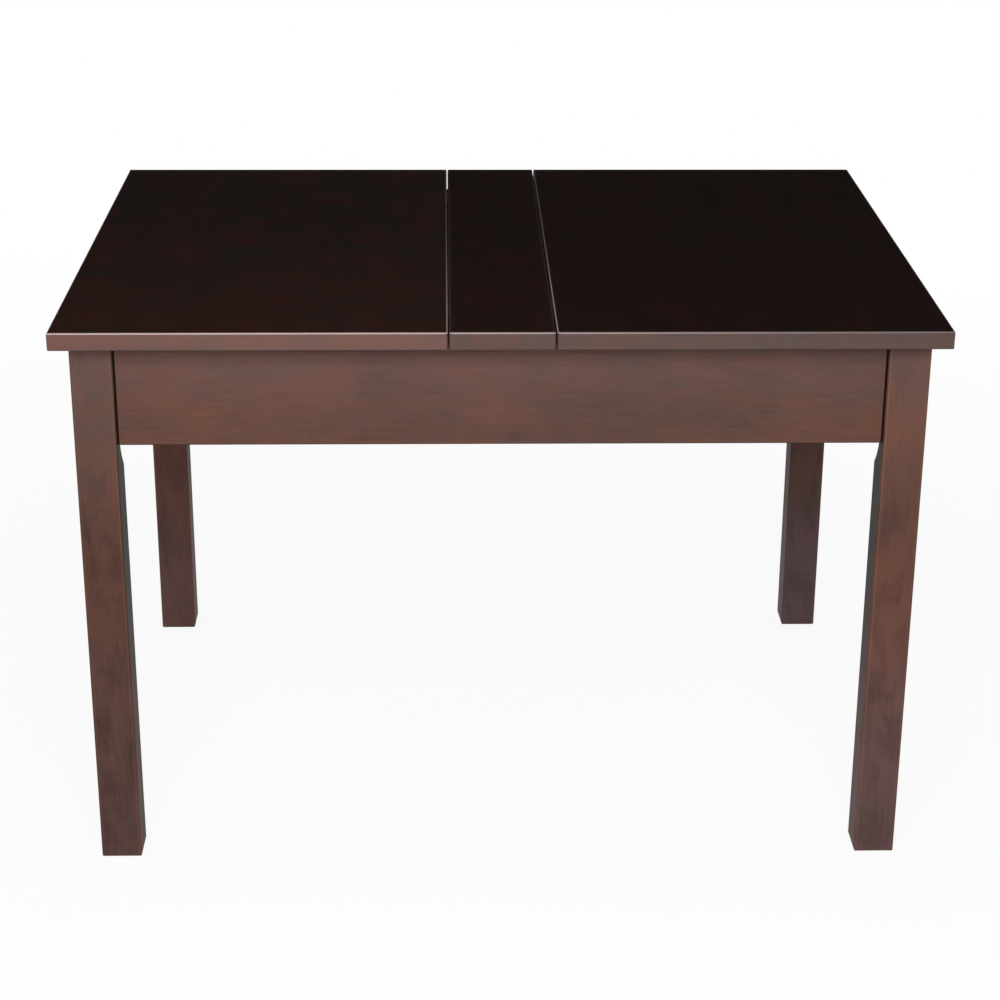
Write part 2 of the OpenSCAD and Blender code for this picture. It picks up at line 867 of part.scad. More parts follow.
leg(LEFT, FRONT);  // leg_front_left
leg(RIGHT, FRONT);  // leg_front_right
leg(LEFT, BACK);  // leg_back_left
leg(RIGHT, BACK);  // leg_back_right
end_apron(FRONT);  // apron_front
end_apron(BACK);  // apron_back
side_apron(LEFT);  // apron_left
side_apron(RIGHT);  // apron_right
rail(LEFT);  // rail_left
rail(RIGHT);  // rail_right
rail_dowels();
centre_panel();
panel_blocks();
panel_screws();
bin_floor(LEFT);  // bin_floor_left
bin_floor(RIGHT);  // bin_floor_right
floor_screws();
end_cleat(LEFT, FRONT);  // cleat_left_front
end_cleat(LEFT, BACK);  // cleat_left_back
side_cleat(LEFT);  // cleat_left_side
rail_cleat(LEFT);  // cleat_left_rail
end_cleat(RIGHT, FRONT);  // cleat_right_front
end_cleat(RIGHT, BACK);  // cleat_right_back
side_cleat(RIGHT);  // cleat_right_side
rail_cleat(RIGHT);  // cleat_right_rail
corner_block(LEFT, FRONT);  // block_front_left
corner_block(RIGHT, FRONT);  // block_front_right
corner_block(LEFT, BACK);  // block_back_left
corner_block(RIGHT, BACK);  // block_back_right
frame_screws();
hanger_bolts();
bolt_washers();
bolt_nuts();
hinge_cups_centre(LEFT);  // hinge_cups_centre_left
hinge_cups_centre(RIGHT);  // hinge_cups_centre_right
hinge_screws_centre();
stay_plates();
stay_plate_screws();
stay_hub_rivets();
lid(LEFT);  // lid_left
hinge_cups_lid(LEFT);  // hinge_cups_lid_left
hinge_screws_lid(LEFT);  // hinge_screws_lid_left
stay_bracket(LEFT);  // stay_bracket_left
stay_bracket_screws(LEFT);  // stay_bracket_screws_left
stay_lid_rivet(LEFT);  // stay_lid_rivet_left
hinge_links(LEFT);  // hinge_links_left
stay_lower_arm(LEFT);  // stay_lower_arm_left
stay_elbow_rivet(LEFT);  // stay_elbow_rivet_left
stay_upper_arm(LEFT);  // stay_upper_arm_left
lid(RIGHT);  // lid_right
hinge_cups_lid(RIGHT);  // hinge_cups_lid_right
hinge_screws_lid(RIGHT);  // hinge_screws_lid_right
stay_bracket(RIGHT);  // stay_bracket_right
stay_bracket_screws(RIGHT);  // stay_bracket_screws_right
stay_lid_rivet(RIGHT);  // stay_lid_rivet_right
hinge_links(RIGHT);  // hinge_links_right
stay_lower_arm(RIGHT);  // stay_lower_arm_right
stay_elbow_rivet(RIGHT);  // stay_elbow_rivet_right
stay_upper_arm(RIGHT);  // stay_upper_arm_right
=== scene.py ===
import math

import bmesh
import bpy
import numpy as np
from mathutils import Matrix, Vector


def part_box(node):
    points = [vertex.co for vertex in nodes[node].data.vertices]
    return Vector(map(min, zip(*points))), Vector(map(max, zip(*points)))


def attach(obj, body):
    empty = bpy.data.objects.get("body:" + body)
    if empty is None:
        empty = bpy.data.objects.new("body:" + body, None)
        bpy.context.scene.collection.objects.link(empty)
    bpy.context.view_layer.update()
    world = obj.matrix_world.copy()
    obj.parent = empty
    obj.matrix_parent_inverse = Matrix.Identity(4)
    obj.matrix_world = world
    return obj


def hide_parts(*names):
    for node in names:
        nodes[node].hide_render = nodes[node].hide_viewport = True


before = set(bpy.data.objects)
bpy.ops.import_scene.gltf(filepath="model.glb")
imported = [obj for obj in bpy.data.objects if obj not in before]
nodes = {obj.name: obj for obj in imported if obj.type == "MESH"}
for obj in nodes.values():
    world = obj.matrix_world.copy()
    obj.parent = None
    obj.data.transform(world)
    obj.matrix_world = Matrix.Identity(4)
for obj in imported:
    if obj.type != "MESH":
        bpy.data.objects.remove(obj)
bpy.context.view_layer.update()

MM = 0.001
SIDES = ["left", "right"]
ENDS = ["front", "back"]

# Stain colours, linear, with the painted shade, highlight and sheen laid over them
RED_MOCHA = (0.170, 0.073, 0.052)
GREY_MOCHA = (0.116, 0.076, 0.064)
PAINTED_SHEEN_MOCHA = (0.150, 0.096, 0.098)
MOCHA_STREAK_AND_SHADE = (0.038, 0.016, 0.012)
PAINTED_SHADE_LEG = (0.012, 0.015, 0.013)
PORE = (0.016, 0.009, 0.007)
RED_PAINTED_SHADE_TOP = (0.0310, 0.0080, 0.0060)
GREY_PAINTED_SHADE_TOP = (0.0130, 0.0096, 0.0064)
WARM_PAINTED_LIGHT_TOP = (0.0410, 0.0100, 0.0076)
DEEPEST_PAINTED_SHADE_TOP = (0.0095, 0.0022, 0.0008)
ARRIS_WEAR_AND_GLINT_MOCHA = (0.24, 0.106, 0.066)
PAINTED_HIGHLIGHT_TOP = (0.50, 0.39, 0.39)
JOINT_SHADOW = (0.010, 0.004, 0.0025)
NICK = (0.42, 0.33, 0.28)
LIGHT_WOOD = (0.36, 0.225, 0.135)
DEEP_WOOD = (0.22, 0.120, 0.066)
SAWN_STREAK = (0.12, 0.062, 0.034)
PLY_FACE = (0.38, 0.25, 0.155)
PLY_DEEP = (0.27, 0.160, 0.092)
PLY_CORE = (0.16, 0.088, 0.050)
NICKEL = (0.66, 0.63, 0.59)
DULL_NICKEL = (0.44, 0.42, 0.39)
ZINC_PLATE = (0.60, 0.61, 0.62)
DULL_ZINC = (0.40, 0.41, 0.44)
YELLOW_ZINC = (0.66, 0.60, 0.47)
DULL_YELLOW_ZINC = (0.46, 0.43, 0.38)

# How the boards of the frame differ, in the terms of stained_wood, together with the
# painted light, sheen and highlight that each one gets
LEG_TONES = {
    "leg_front_left": {"depth": 0.30, "floor_sheen": 0.45, "arris_wear_and_glint": 0.35},
    "leg_front_right": {"depth": 0.06, "blush": 0.08, "floor_sheen": 0.8, "arris_wear_and_glint": 0.6},
    "leg_back_left": {"depth": -0.08, "blush": 0.14, "floor_sheen": 0.5, "arris_wear_and_glint": 0.3},
    "leg_back_right": {"depth": -0.06, "floor_sheen": 1.0, "arris_wear_and_glint": 0.2}}
APRON_TONES = {"depth": 0.14, "arris_wear_and_glint": 0.1, "apron": True}

# Heights of the aprons' lower edge and of the frame's top
APRON_LOW_MM, FRAME_TOP_MM = (corner[2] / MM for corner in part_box("apron_front"))


def link(name, data):
    """Adds an object to the scene."""
    made = bpy.data.objects.new(name, data)
    bpy.context.scene.collection.objects.link(made)
    return made


# Nodes

class Field:
    """A number that varies over a surface or a mesh. Arithmetic on it adds Math nodes."""

    def __init__(self, tree, socket):
        self.tree = tree
        self.socket = socket

    def __add__(self, other):
        return self.tree.math("ADD", self, other)

    def __radd__(self, other):
        return self.tree.math("ADD", other, self)

    def __sub__(self, other):
        return self.tree.math("SUBTRACT", self, other)

    def __rsub__(self, other):
        return self.tree.math("SUBTRACT", other, self)

    def __mul__(self, other):
        return self.tree.math("MULTIPLY", self, other)

    def __rmul__(self, other):
        return self.tree.math("MULTIPLY", other, self)

    def __truediv__(self, other):
        return self.tree.math("DIVIDE", self, other)

    def __pow__(self, other):
        return self.tree.math("POWER", self, other)

    def __neg__(self):
        return self.tree.math("MULTIPLY", self, -1.0)

    def __abs__(self):
        return self.tree.math("ABSOLUTE", self)

    def least(self, other):
        return self.tree.math("MINIMUM", self, other)

    def most(self, other):
        return self.tree.math("MAXIMUM", self, other)

    def sine(self):
        return self.tree.math("SINE", self)

    def cosine(self):
        return self.tree.math("COSINE", self)

    def whole(self):
        """The whole number at or below it."""
        return self.tree.math("FLOOR", self)

    def part(self):
        """What it has above that whole number."""
        return self.tree.math("FRACT", self)

    def past(self, limit):
        """1 above the limit and 0 up to it."""
        return self.tree.math("GREATER_THAN", self, limit)

    def ease(self, start, end):
        """0 at start, 1 at end and smooth between them."""
        made = self.tree.node("ShaderNodeMapRange", {"interpolation_type": "SMOOTHSTEP"},
                              {"Value": self, "From Min": start, "From Max": end})
        return Field(self.tree, made.outputs["Result"])


class Nodes:
    """A node tree that is built one node at a time."""

    def __init__(self, tree):
        self.tree = tree

    def node(self, kind, settings=None, sockets=None):
        """Adds a node: its settings first, then a value or a link for each socket."""
        made = self.tree.nodes.new(kind)
        for name, value in (settings or {}).items():
            setattr(made, name, value)
        for name, value in (sockets or {}).items():
            self.feed(self.find(made.inputs, name), value)
        return made

    def feed(self, socket, value):
        """Links a field or a socket to the socket, or sets its value."""
        if isinstance(value, Field):
            value = value.socket
        if isinstance(value, bpy.types.NodeSocket):
            self.tree.links.new(value, socket)
        else:
            socket.default_value = value

    @staticmethod
    def find(sockets, key):
        """The socket at a place, or the first one with an identifier or a name."""
        if isinstance(key, int):
            return sockets[key]
        return next(s for s in sockets if key in (s.identifier, s.name))

    def math(self, operation, *values):
        made = self.node("ShaderNodeMath", {"operation": operation}, dict(enumerate(values)))
        return Field(self, made.outputs["Value"])

    def light_path(self):
        """1 for the rays by which the camera, gloss and glass see the studio."""
        path = self.node("ShaderNodeLightPath")
        seen, *others = [Field(self, path.outputs[name]) for name in
                         ("Is Camera Ray", "Is Glossy Ray", "Is Transmission Ray")]
        for other in others:
            seen = seen.most(other)
        return seen


class Finish(Nodes):
    """A material whose pattern lies on the object's own coordinates.
    x, y and z are the place on it in millimetres."""

    def __init__(self, name, uniform=None, shift=(0, 0, 0), turn=0.0):
        self.material = bpy.data.materials.new(name)
        self.material.use_nodes = True
        super().__init__(self.material.node_tree)
        self.shader = self.tree.nodes["Principled BSDF"]
        for socket, value in (uniform or {}).items():
            self.feed(self.shader.inputs[socket], value)
        self.shift = shift
        self.turn = turn
        self.coordinates = self.node("ShaderNodeTexCoord").outputs["Object"]
        axes = self.node("ShaderNodeSeparateXYZ", None, {"Vector": self.coordinates})
        self.x, self.y, self.z = (Field(self, axes.outputs[n]) / MM for n in "XYZ")

    def mix(self, share, under, over):
        """The colour over laid on the colour under by a share."""
        under, over = ((*c, 1.0) if isinstance(c, tuple) else c for c in (under, over))
        made = self.node("ShaderNodeMix", {"data_type": "RGBA"},
                         {"Factor_Float": share, "A_Color": under, "B_Color": over})
        return self.find(made.outputs, "Result_Color")

    def stretch(self, size_mm):
        """Coordinates in which one cell of a pattern measures size_mm along each axis."""
        made = self.node("ShaderNodeMapping", {"vector_type": "TEXTURE"},
                         {"Vector": self.coordinates, "Location": self.shift,
                          "Rotation": (0, 0, self.turn), "Scale": [MM * s for s in size_mm]})
        return made.outputs["Vector"]

    def noise(self, size_mm, detail=3.0, rough=0.5, warp=0.0):
        """Cloudy field from 0 to 1, mostly near the middle."""
        made = self.node("ShaderNodeTexNoise", None,
                         {"Vector": self.stretch(size_mm), "Scale": 1.0, "Detail": detail,
                          "Roughness": rough, "Distortion": warp})
        return Field(self, made.outputs["Fac"])

    def dots(self, apart_mm, radius_mm):
        """1 on small scattered dots and 0 between them."""
        made = self.node("ShaderNodeTexVoronoi", None,
                         {"Vector": self.stretch([apart_mm] * 3), "Scale": 1.0})
        distance = Field(self, made.outputs["Distance"]) * apart_mm
        return 1 - distance.ease(radius_mm * 0.6, radius_mm)

    def relief(self, height, depth_mm):
        """Feeds the normal with a height that is depth_mm deep from 0 to 1."""
        made = self.node("ShaderNodeBump", None,
                         {"Height": height, "Distance": depth_mm * MM, "Strength": 1.0})
        self.feed(self.shader.inputs["Normal"], made.outputs["Normal"])

    def finish(self, base, roughness):
        """Feeds the colour and the roughness, and gives the material."""
        self.feed(self.shader.inputs["Base Color"], base)
        self.feed(self.shader.inputs["Roughness"], roughness)
        return self.material


# Wood

def next_shift():
    """Moves the grain along for each new board, so that no two boards look alike."""
    count = len(bpy.data.materials)
    return (0.173 * count, 0.291 * count, 0.127 * count)


def board(along, across_mm, length_mm):
    """Size of a pattern's cell that is drawn out along the grain."""
    return [length_mm if axis == along else across_mm for axis in "XYZ"]


def arris_distance(paint, node):
    """Distance in millimetres from the nearest arris, over the faces of a board."""
    depths = []
    for place, low, high in zip((paint.x, paint.y, paint.z), *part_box(node)):
        middle = (low + high) / 2 / MM
        half = (high - low) / 2 / MM
        depths.append(half - abs(place - middle))
    a, b, c = depths
    return a.least(b).most(a.most(b).least(c))


def growth_rings(paint, along, node):
    """Wavy bands about the heart of the tree, which lies along the grain outside the board."""
    ring_mm, wander_mm, heart_mm = 8.5, 46.0, (31.0, -84.0)
    lo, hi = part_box(node)
    middle = (lo + hi) / 2 / MM
    (place_a, mid_a), (place_b, mid_b) = [
        (place, mid) for place, mid, axis in zip((paint.x, paint.y, paint.z), middle, "XYZ")
        if axis != along]
    wander = paint.noise(board(along, 70.0, 330.0), 2.0)
    across = place_a - (mid_a + heart_mm[0])
    deep = place_b - (mid_b + heart_mm[1])
    radius = (across * across + deep * deep) ** 0.5 + wander * wander_mm
    return (radius * (2 * math.pi / ring_mm)).sine() * 0.5 + 0.5


def grain(paint, along, node):
    """Streaks, mottling, pores and growth rings of a fine-grained hardwood."""
    streaks = paint.noise(board(along, 2.2, 36.0), 4.0, 0.6, 0.3)
    mottle = paint.noise(board(along, 26.0, 62.0), 4.0, 0.62, 0.4)
    pores = paint.noise(board(along, 0.45, 5.0), 1.0).ease(0.62, 0.76)
    return streaks, mottle, pores, growth_rings(paint, along, node)


def stained_wood(node, along, depth=0.0, blush=0.0, floor_sheen=0.0, arris_wear_and_glint=0.7, apron=False):
    """Leg or apron under mocha stain and satin lacquer, its arrises lighter from wear and a painted
    highlight. depth is how much darker it is low down, below zero how much paler, which on the
    back legs is painted light; blush its redness, floor_sheen the share of painted reflection of
    the pale floor near the foot, and arris_wear_and_glint that of wear and painted highlight on
    the arrises."""
    paint = Finish(node + "_mocha", {"Specular IOR Level": 0.04}, next_shift())
    streaks, mottle, pores, rings = grain(paint, along, node)
    cloud = paint.noise([80.0] * 3, 2.0)
    redness = mottle * 0.65 + cloud * 0.35 + rings * 0.05 + streaks * 0.12 + blush
    colour = paint.mix(redness.ease(0.34, 0.84), GREY_MOCHA, RED_MOCHA)
    # Painted sheen, a cool reflection of the floor: at the foot, fading toward the knee,
    # and a little just under the top
    foot_mm, knee_mm = 40.0, 300.0
    sheen_under_top = paint.z.ease(APRON_LOW_MM + 11, FRAME_TOP_MM) * 0.3
    painted_sheen = (1 - paint.z.ease(foot_mm, knee_mm)) * floor_sheen + sheen_under_top
    colour = paint.mix(painted_sheen, colour, PAINTED_SHEEN_MOCHA)
    shade = streaks.ease(0.38, 0.80) * 0.16 + rings * 0.04 + (1 - cloud.ease(0.3, 0.6)) * 0.10
    # Darker low down, from the top of an apron and from just under the aprons on a leg,
    # and paler there on the back legs, which is painted light
    if apron:
        below = 1 - paint.z.ease(APRON_LOW_MM + 1, FRAME_TOP_MM)
    else:
        below = 1 - paint.z.ease(APRON_LOW_MM - 99, APRON_LOW_MM + 21)
    patches = (1 - mottle.ease(0.38, 0.58)) * (0.04 if apron else 0.22)
    shade = shade + below * (depth + patches)
    colour = paint.mix(shade, colour, MOCHA_STREAK_AND_SHADE)
    colour = paint.mix(pores * 0.28, colour, PORE)
    if not apron:
        # Painted shade on a leg's face toward the other side of the table, most of all high up
        inner_x = min((corner[0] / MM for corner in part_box(node)), key=abs)
        inner = 1 - abs(paint.x - inner_x).ease(0.3, 1.6)
        high = paint.z.ease(foot_mm, knee_mm + 80)
        colour = paint.mix(inner * high * 0.95, colour, PAINTED_SHADE_LEG)
    arris = arris_distance(paint, node)
    # Lighter arrises: wear and a painted highlight
    lighter_arris = arris.ease(0.5, 1.4) * (1 - arris.ease(1.6, 3.4)) * streaks.ease(0.2, 0.65) * arris_wear_and_glint
    colour = paint.mix(lighter_arris, colour, ARRIS_WEAR_AND_GLINT_MOCHA)
    # Painted shade: a dark line on the round of each arris
    colour = paint.mix((1 - arris.ease(0.5, 1.3)) * 0.7, colour, MOCHA_STREAK_AND_SHADE)
    colour = paint.mix(paint.dots(70.0, 1.1) * 0.7, colour, NICK)
    if apron:
        # Painted shadow line at both ends of an apron, where it meets the legs
        run, half = (paint.x, half_mm(node, 0)) if along == "X" else (paint.y, half_mm(node, 1))
        end = (abs(run) - (half - 1.6)).ease(0.0, 0.6)
        colour = paint.mix(end, colour, JOINT_SHADOW)
    lacquer = paint.noise([5.0] * 3, 2.0)
    paint.relief(lacquer * 0.4 + streaks * 0.3 - pores * 0.5, 0.05)
    dress(node, paint.finish(colour, 0.46 + streaks * 0.10 - lighter_arris * 0.1 + pores * 0.1))


def top_face(paint, depth, to_front, to_left, streaks, mottle, rings):
    """Face of a panel in near-black painted shade, in red blotches,
    with painted light warmer toward the front left.
    """
    blotch = paint.noise([40.0, 52.0, 52.0], 4.0, 0.6, 0.5)
    red = (blotch * 0.6 + mottle * 0.4).ease(0.43, 0.60)
    face = paint.mix(red, GREY_PAINTED_SHADE_TOP, RED_PAINTED_SHADE_TOP)
    # Painted light: the face warmer and lighter toward the front left
    face = paint.mix(to_front * (0.10 + 0.30 * to_left), face, WARM_PAINTED_LIGHT_TOP)
    # More painted shade on the darker panels
    face = paint.mix(depth * 0.6, face, DEEPEST_PAINTED_SHADE_TOP)
    face = paint.mix(streaks.ease(0.4, 0.8) * 0.22 + rings * 0.06, face, PORE)
    specks = paint.dots(9.0, 0.9) * mottle.ease(0.50, 0.60)
    return paint.mix(specks * 0.32, face, NICK)


def top_edge(paint, node, depth, streaks, mottle):
    """Mocha stain of a panel's edges and underside, with painted shade over it, more on the
    darker panels, and along the lower arris.
    """
    red = (mottle * 0.8 + streaks * 0.2 - depth * 0.1).ease(0.26, 0.62)
    edge = paint.mix(red, GREY_MOCHA, RED_MOCHA)
    edge_painted_shade = 0.24 + 0.46 * min(depth, 0.7)
    edge = paint.mix(streaks.ease(0.42, 0.8) * 0.2 + edge_painted_shade, edge, MOCHA_STREAK_AND_SHADE)
    lower_arris_shade = 1 - (paint.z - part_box(node)[0][2] / MM).ease(0.5, 1.3)
    return paint.mix(lower_arris_shade * 0.6, edge, MOCHA_STREAK_AND_SHADE)


def top_highlight_and_seam_shade(paint, node, seams, to_front, to_left):
    """Shares of painted highlight on the round of the upper arrises, strongest at the front
    left, and of painted shade with duller lacquer by the seams.
    """
    round_mm, inset_mm = 0.7, 2.4
    lo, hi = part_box(node)
    face_z = hi[2] / MM
    height = 1 - (abs(paint.z - (face_z - round_mm)) / round_mm).ease(0.3, 1.0)
    front = (lo[1] / MM + inset_mm - paint.y).ease(0.0, 0.8)
    back = (paint.y - (hi[1] / MM - inset_mm)).ease(0.0, 0.8) * 0.25
    arris_highlight = (front * (0.30 + 0.70 * to_left)).most(back)
    dull = 0
    for seam_mm, strength in seams:
        from_seam = abs(paint.x - seam_mm)
        arris_highlight = arris_highlight.most((1 - from_seam.ease(0.9, 1.4)) * strength * (0.30 + 0.70 * to_front))
        dull = 1 - from_seam.ease(2.0, 2.8) + dull
    return arris_highlight * height, dull * paint.z.ease(face_z - 2.6, face_z - 1.8)


def top_panel(node, along, depth, seams):
    """Top panel: its face in near-black painted shade, its edges and underside in mocha stain,
    and painted highlights on its upper arrises. depth is its share of the deepest painted shade.
    seams lists the arrises that run to the back, each with its place along X and the strength
    of its painted highlight."""
    paint = Finish(node + "_espresso", {"Specular IOR Level": 0.5}, next_shift())
    streaks, mottle, pores, rings = grain(paint, along, node)
    to_front = (-paint.y).ease(-100.0, 320.0)
    to_left = (-paint.x).ease(-330.0, 360.0)
    face = top_face(paint, depth, to_front, to_left, streaks, mottle, rings)
    edge = top_edge(paint, node, depth, streaks, mottle)
    face_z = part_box(node)[1][2] / MM
    # The face is in painted shade above the round of its arris, its edges in mocha stain
    colour = paint.mix(paint.z.ease(face_z - 1.4, face_z - 0.5), edge, face)
    arris_highlight, dull = top_highlight_and_seam_shade(paint, node, seams, to_front, to_left)
    # Painted shade by the seams
    colour = paint.mix(dull * 0.6, colour, DEEPEST_PAINTED_SHADE_TOP)
    # Painted highlights on the upper arrises
    colour = paint.mix(arris_highlight * (0.75 + 0.5 * streaks), colour, PAINTED_HIGHLIGHT_TOP)
    colour = paint.mix(pores * 0.3, colour, PORE)
    lacquer = paint.noise([6.0] * 3, 2.0)
    paint.relief(lacquer * 0.4 + streaks * 0.25 - pores * 0.4, 0.04)
    dress(node, paint.finish(colour, 0.30 + streaks * 0.10 + pores * 0.1 + dull * 0.35))


def sawn_wood(node, along, turn=0.0):
    """Inside board under a thin coat of stain, with the marks of the saw."""
    paint = Finish(node + "_sawn", {"Specular IOR Level": 0.35}, next_shift(), turn)
    streaks, mottle, pores, rings = grain(paint, along, node)
    colour = paint.mix(mottle.ease(0.35, 0.70), DEEP_WOOD, LIGHT_WOOD)
    colour = paint.mix(rings * 0.22 + streaks.ease(0.4, 0.72) * 0.45, colour, SAWN_STREAK)
    colour = paint.mix(pores * 0.6, colour, MOCHA_STREAK_AND_SHADE)
    arris = arris_distance(paint, node)
    lighter_arris = (1 - arris.ease(0.2, 1.4)) * mottle.ease(0.3, 0.6) * 0.5
    colour = paint.mix(lighter_arris, colour, LIGHT_WOOD)
    saw = paint.noise(board(along, 60.0, 1.3), 1.0)
    paint.relief(saw * 0.45 + streaks * 0.4 - pores * 0.5, 0.10)
    dress(node, paint.finish(colour, 0.62 + streaks * 0.15 - saw * 0.06))


def plywood(node):
    """Floor of a bin: a stained face veneer over thin cross plies."""
    ply_count = 5
    paint = Finish(node + "_ply", {"Specular IOR Level": 0.4}, next_shift())
    streaks, mottle, pores, rings = grain(paint, "X", node)
    colour = paint.mix(mottle.ease(0.35, 0.7), PLY_DEEP, PLY_FACE)
    colour = paint.mix(rings * 0.3 + streaks.ease(0.42, 0.72) * 0.5, colour, PLY_CORE)
    colour = paint.mix(pores * 0.6, colour, MOCHA_STREAK_AND_SHADE)
    lo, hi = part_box(node)
    ply_mm = (hi[2] - lo[2]) / MM / ply_count
    plies = ((paint.z - lo[2] / MM) * (math.pi / ply_mm)).sine() * 0.5 + 0.5
    inner_half = (ply_count / 2 - 1) * ply_mm
    inside = 1 - (abs(paint.z - (lo[2] + hi[2]) / 2 / MM) - inner_half).ease(0.0, 0.4)
    colour = paint.mix(plies * inside * 0.7, colour, PLY_CORE)
    paint.relief(streaks * 0.4 - pores * 0.5 + rings * 0.1, 0.06)
    dress(node, paint.finish(colour, 0.52 + streaks * 0.14))


def metal(name, colour, dull, roughness, brushed=None):
    """Plated metal with a fine grain, faint stains and slightly duller patches."""
    paint = Finish(name, {"Metallic": 1.0}, next_shift())
    stain = paint.noise([9.0] * 3, 3.0, 0.6)
    fine = paint.noise(board(brushed, 0.25, 6.0) if brushed else [0.6] * 3, 2.0)
    base = paint.mix(stain.ease(0.4, 0.75) * 0.5, colour, dull)
    base = paint.mix(fine.ease(0.5, 0.9) * 0.25, base, dull)
    paint.relief(fine * 0.6 + stain * 0.4, 0.02)
    return paint.finish(base, roughness + stain * 0.16 + fine * 0.06)


def dress(node, material):
    """Gives a CAD node its finish."""
    nodes[node].data.materials.clear()
    nodes[node].data.materials.append(material)


def half_mm(node, axis):
    """Half of a node's size along one axis, of which X is 0 and Y is 1."""
    lo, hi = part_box(node)
    return (hi[axis] - lo[axis]) / 2 / MM


def dress_wood():
    for end in ENDS:
        for side in SIDES:
            leg = f"leg_{end}_{side}"
            stained_wood(leg, "Z", **LEG_TONES[leg])
            slant = math.radians(45 if (end == "front") == (side == "left") else -45)
            sawn_wood(f"block_{end}_{side}", "Y", slant)
        stained_wood("apron_" + end, "X", **APRON_TONES)
    for side in SIDES:
        stained_wood("apron_" + side, "Y", **APRON_TONES)
        plywood("bin_floor_" + side)
        for node, along in (("rail_" + side, "Y"), (f"cleat_{side}_front", "X"),
                            (f"cleat_{side}_back", "X"), (f"cleat_{side}_side", "Y"),
                            (f"cleat_{side}_rail", "Y")):
            sawn_wood(node, along)
    for node in ("panel_blocks", "rail_dowels"):
        sawn_wood(node, "Y")
    left, strip, right = (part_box(n) for n in ("lid_left", "centre_panel", "lid_right"))
    # Each panel's share of painted shade, and the painted highlight on each seam's arris
    top_panel("lid_left", "X", 0.0, [(left[1][0] / MM, 0.9)])
    top_panel("centre_panel", "Y", 0.7, [(strip[0][0] / MM, 0.05), (strip[1][0] / MM, 0.0)])
    top_panel("lid_right", "X", 1.0, [(right[0][0] / MM, 0.9), (right[1][0] / MM, 0.1)])


# Fittings

# Corners of a part that lie closer than this are one, after rolling it up and after a cut
SEAM_GAP = 2e-6
CUT_GAP = 5e-6


def solids_of(node):
    """Axis, ends and radii of each turned solid of a CAD node, with its wider end first."""
    work = bmesh.new()
    work.from_mesh(nodes[node].data)
    bmesh.ops.remove_doubles(work, verts=work.verts, dist=1e-6)
    unseen, found = set(work.verts), []
    while unseen:
        group, waiting = [], [unseen.pop()]
        while waiting:
            corner = waiting.pop()
            group.append(corner.co[:])
            for line in corner.link_edges:
                other = line.other_vert(corner)
                if other in unseen:
                    unseen.remove(other)
                    waiting.append(other)
        found.append(measure(np.array(sorted(group))))
    work.free()
    return sorted(found, key=lambda solid: tuple(round(v, 5) for v in solid["top"]))


def measure(points):
    """Axis, length and end radii of the corners of one turned solid."""
    middle = (points.min(0) + points.max(0)) / 2
    spread, turns = np.linalg.eigh(np.cov((points - points.mean(0)).T))
    # A turned solid spreads alike in two directions, and the third one is its axis
    unlike = abs(spread[:, None] - spread) + np.diag([np.inf] * 3)
    axis = turns[:, unlike.min(0).argmax()]
    along = (points - middle) @ axis
    girth = np.linalg.norm(points - middle - np.outer(along, axis), axis=1)
    ends = [girth[along > along.max() - 1e-5].max(), girth[along < along.min() + 1e-5].max()]
    if ends[1] > ends[0] + 1e-6:
        axis, along, ends = -axis, -along, ends[::-1]
    return {"top": middle + axis * along.max(), "axis": axis, "length": along.max() - along.min(),
            "top_radius": ends[0], "end_radius": ends[1], "radius": girth.max()}


def ridge(height, pitch, turn):
    """1 on the crest of a right-hand thread and 0 in its valleys."""
    return (((height / pitch - turn) * (2 * math.pi)).cosine() * 0.5 + 0.5) ** 1.5


